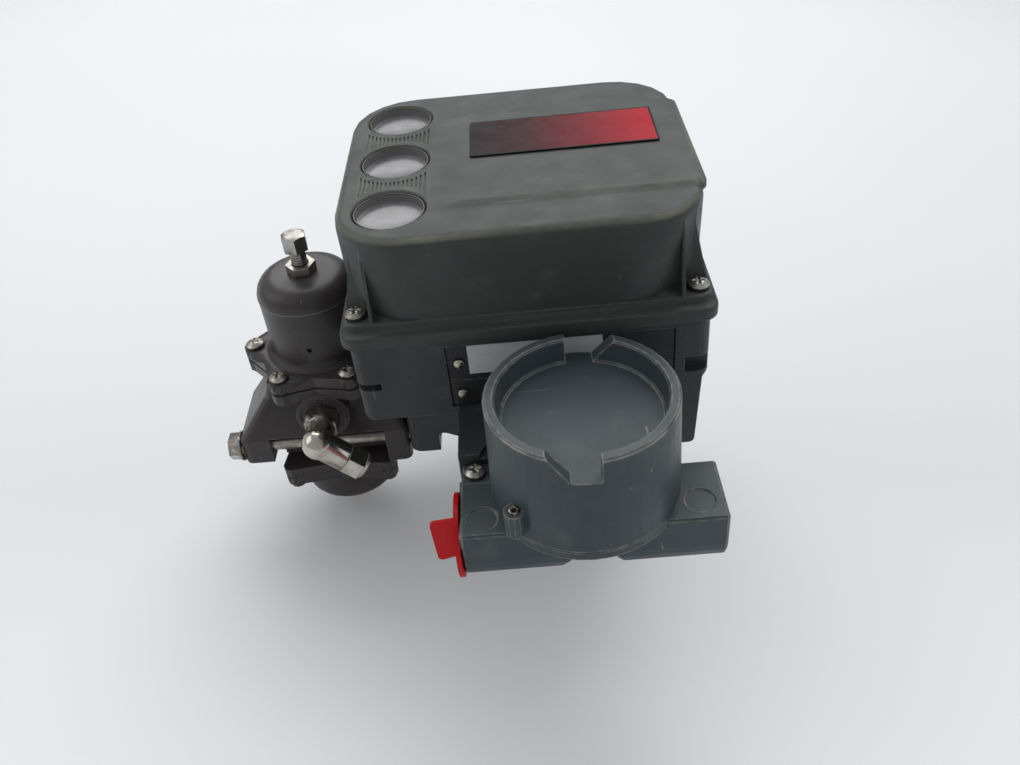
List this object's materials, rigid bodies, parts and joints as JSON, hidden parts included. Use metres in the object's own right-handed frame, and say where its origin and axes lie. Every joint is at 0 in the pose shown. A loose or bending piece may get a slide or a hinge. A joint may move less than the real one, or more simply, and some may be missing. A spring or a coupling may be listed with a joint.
{
  "type": "valve positioner",
  "caption": "Pneumatic valve positioner: painted housing with a gauge-window cover, threaded terminal box with conduit entries, and a side-mounted filter regulator with an elbow fitting.",
  "frame": {"origin": "middle of the back mounting face, in the plane that bolts to the actuator bracket", "axes": "+Z out of the back face through the cover, -Y towards the terminal box, -X towards the filter regulator"},
  "size_m": [0.2424, 0.2444, 0.2064],
  "materials": {
    "housing_paint": "satin",
    "cover_plastic": "satin",
    "box_paint": "satin",
    "regulator_paint": "satin",
    "nameplate": "satin",
    "screw_steel": "satin",
    "nickel_plate": "polished",
    "aluminium": "satin",
    "bronze": "satin",
    "rubber": "matte",
    "red_plastic": "satin",
    "label_film": "gloss",
    "clear_plastic": "frosted",
    "dark_plastic": "matte",
    "dial_white": "matte",
    "filter_felt": "matte"
  },
  "bodies": {
    "positioner_body": {"control_spring": "screw_steel", "cover_gasket": "rubber", "diaphragm": "rubber", "dripwell": "regulator_paint", "filter_element": "filter_felt", "gauge_1": "dial_white", "gauge_2": "dial_white", "gauge_3": "dial_white", "housing": "housing_paint", "inlet_elbow": "nickel_plate", "ip_converter": "dark_plastic", "lower_nameplate": "nameplate", "module_base": "aluminium", "nameplate_screw_1": "screw_steel", "nameplate_screw_2": "screw_steel", "output_port_plug": "screw_steel", "pneumatic_relay": "aluminium", "potentiometer": "dark_plastic", "regulator_body": "regulator_paint", "regulator_bolt_1": "screw_steel", "regulator_bolt_2": "screw_steel", "shaft_bushing": "bronze", "spring_case": "regulator_paint", "spring_case_screw_1": "screw_steel", "spring_case_screw_2": "screw_steel", "spring_case_screw_3": "screw_steel", "spring_case_screw_4": "screw_steel", "spring_case_screw_5": "screw_steel", "spring_case_screw_6": "screw_steel", "terminal_block": "dark_plastic", "terminal_box": "box_paint", "terminal_box_screw": "screw_steel", "upper_nameplate": "nameplate", "valve_spring": "screw_steel", "vent_cap": "dark_plastic", "wiring_board": "dark_plastic"},
    "cover_assembly": {"cover": "cover_plastic", "cover_screw_1": "screw_steel", "cover_screw_2": "screw_steel", "cover_screw_3": "screw_steel", "cover_screw_4": "screw_steel", "window_lens": "clear_plastic", "cover_label": "label_film"},
    "cap_seal": {"cap_o_ring": "rubber"},
    "cap_assembly": {"terminal_cap": "box_paint", "cap_set_screw": "screw_steel"},
    "adjuster_seat": {"spring_seat": "screw_steel"},
    "adjuster": {"adjusting_screw": "screw_steel"},
    "jam_nut": {"lock_nut": "screw_steel"},
    "drain": {"drain_valve": "bronze"},
    "tube_nut": {"elbow_nut": "nickel_plate"},
    "pointer_1": {"gauge_pointer_1": "dark_plastic"},
    "pointer_2": {"gauge_pointer_2": "dark_plastic"},
    "pointer_3": {"gauge_pointer_3": "dark_plastic"},
    "travel_sensor": {"travel_shaft": "screw_steel", "feedback_arm": "aluminium", "bias_spring": "screw_steel"},
    "entry_plug": {"conduit_plug": "red_plastic"},
    "regulator_valve": {"diaphragm_head": "aluminium", "valve_plug": "bronze"}
  },
  "joints": [
    {"name": "cover_lift", "type": "slide", "parent": "positioner_body", "child": "cover_assembly", "axis": [0, 0, 1], "range_m": [0, 0.06]},
    {"name": "cap_lift", "type": "slide", "parent": "positioner_body", "child": "cap_seal", "axis": [0, 0, 1], "range_m": [0, 0.0101]},
    {"name": "cap_turn", "type": "hinge", "parent": "cap_seal", "child": "cap_assembly", "pos_m": [0.018, -0.117, 0.08], "axis": [0, 0, 1], "range_deg": [0, 1800]},
    {"name": "seat_travel", "type": "slide", "parent": "positioner_body", "child": "adjuster_seat", "axis": [0, 0, 1], "range_m": [-0.00564, 0.00423], "deforming": ["control_spring"]},
    {"name": "adjusting_screw_turn", "type": "hinge", "parent": "adjuster_seat", "child": "adjuster", "pos_m": [-0.1075, 0, 0.1], "axis": [0, 0, 1], "range_deg": [-1440, 1080]},
    {"name": "lock_nut_turn", "type": "hinge", "parent": "positioner_body", "child": "jam_nut", "pos_m": [-0.1075, 0, 0.098], "axis": [0, 0, 1], "range_deg": [0, 180]},
    {"name": "drain_turn", "type": "hinge", "parent": "positioner_body", "child": "drain", "pos_m": [-0.1075, 0, -0.045], "axis": [0, 0, 1], "range_deg": [0, 360]},
    {"name": "tube_nut_turn", "type": "hinge", "parent": "positioner_body", "child": "tube_nut", "pos_m": [-0.09631, -0.052, 0.01857], "axis": [0.7314, 0, -0.682], "continuous": true},
    {"name": "travel_sensor_turn", "type": "hinge", "parent": "positioner_body", "child": "travel_sensor", "pos_m": [0, 0.022, 0], "axis": [0, 0, 1], "range_deg": [-45, 45], "stiffness_Nm_per_rad": 0.02},
    {"name": "entry_plug_pull", "type": "slide", "parent": "positioner_body", "child": "entry_plug", "axis": [-1, 0, 0], "range_m": [0, 0.02]},
    {"name": "valve_stroke", "type": "slide", "parent": "positioner_body", "child": "regulator_valve", "axis": [0, 0, -1], "range_m": [0, 0.0012], "stiffness_N_per_m": 200, "springref_m": -0.005, "deforming": ["diaphragm", "valve_spring"]},
    {"name": "gauge_1_reading", "type": "hinge", "parent": "positioner_body", "child": "pointer_1", "pos_m": [-0.0538, -0.0409, 0.131], "axis": [0, 0, -1], "range_deg": [0, 270], "stiffness_Nm_per_rad": 0.0005},
    {"name": "gauge_2_reading", "type": "hinge", "parent": "positioner_body", "child": "pointer_2", "pos_m": [-0.0538, 0.0028, 0.131], "axis": [0, 0, -1], "range_deg": [0, 270], "stiffness_Nm_per_rad": 0.0005},
    {"name": "gauge_3_reading", "type": "hinge", "parent": "positioner_body", "child": "pointer_3", "pos_m": [-0.0538, 0.0465, 0.131], "axis": [0, 0, -1], "range_deg": [0, 270], "stiffness_Nm_per_rad": 0.0005}
  ],
  "couplings": [
    {"joint": "cap_lift", "follows": "cap_turn", "m_per_rad": 0.00031831},
    {"joint": "adjusting_screw_turn", "follows": "seat_travel", "rad_per_m": 4452.7}
  ]
}
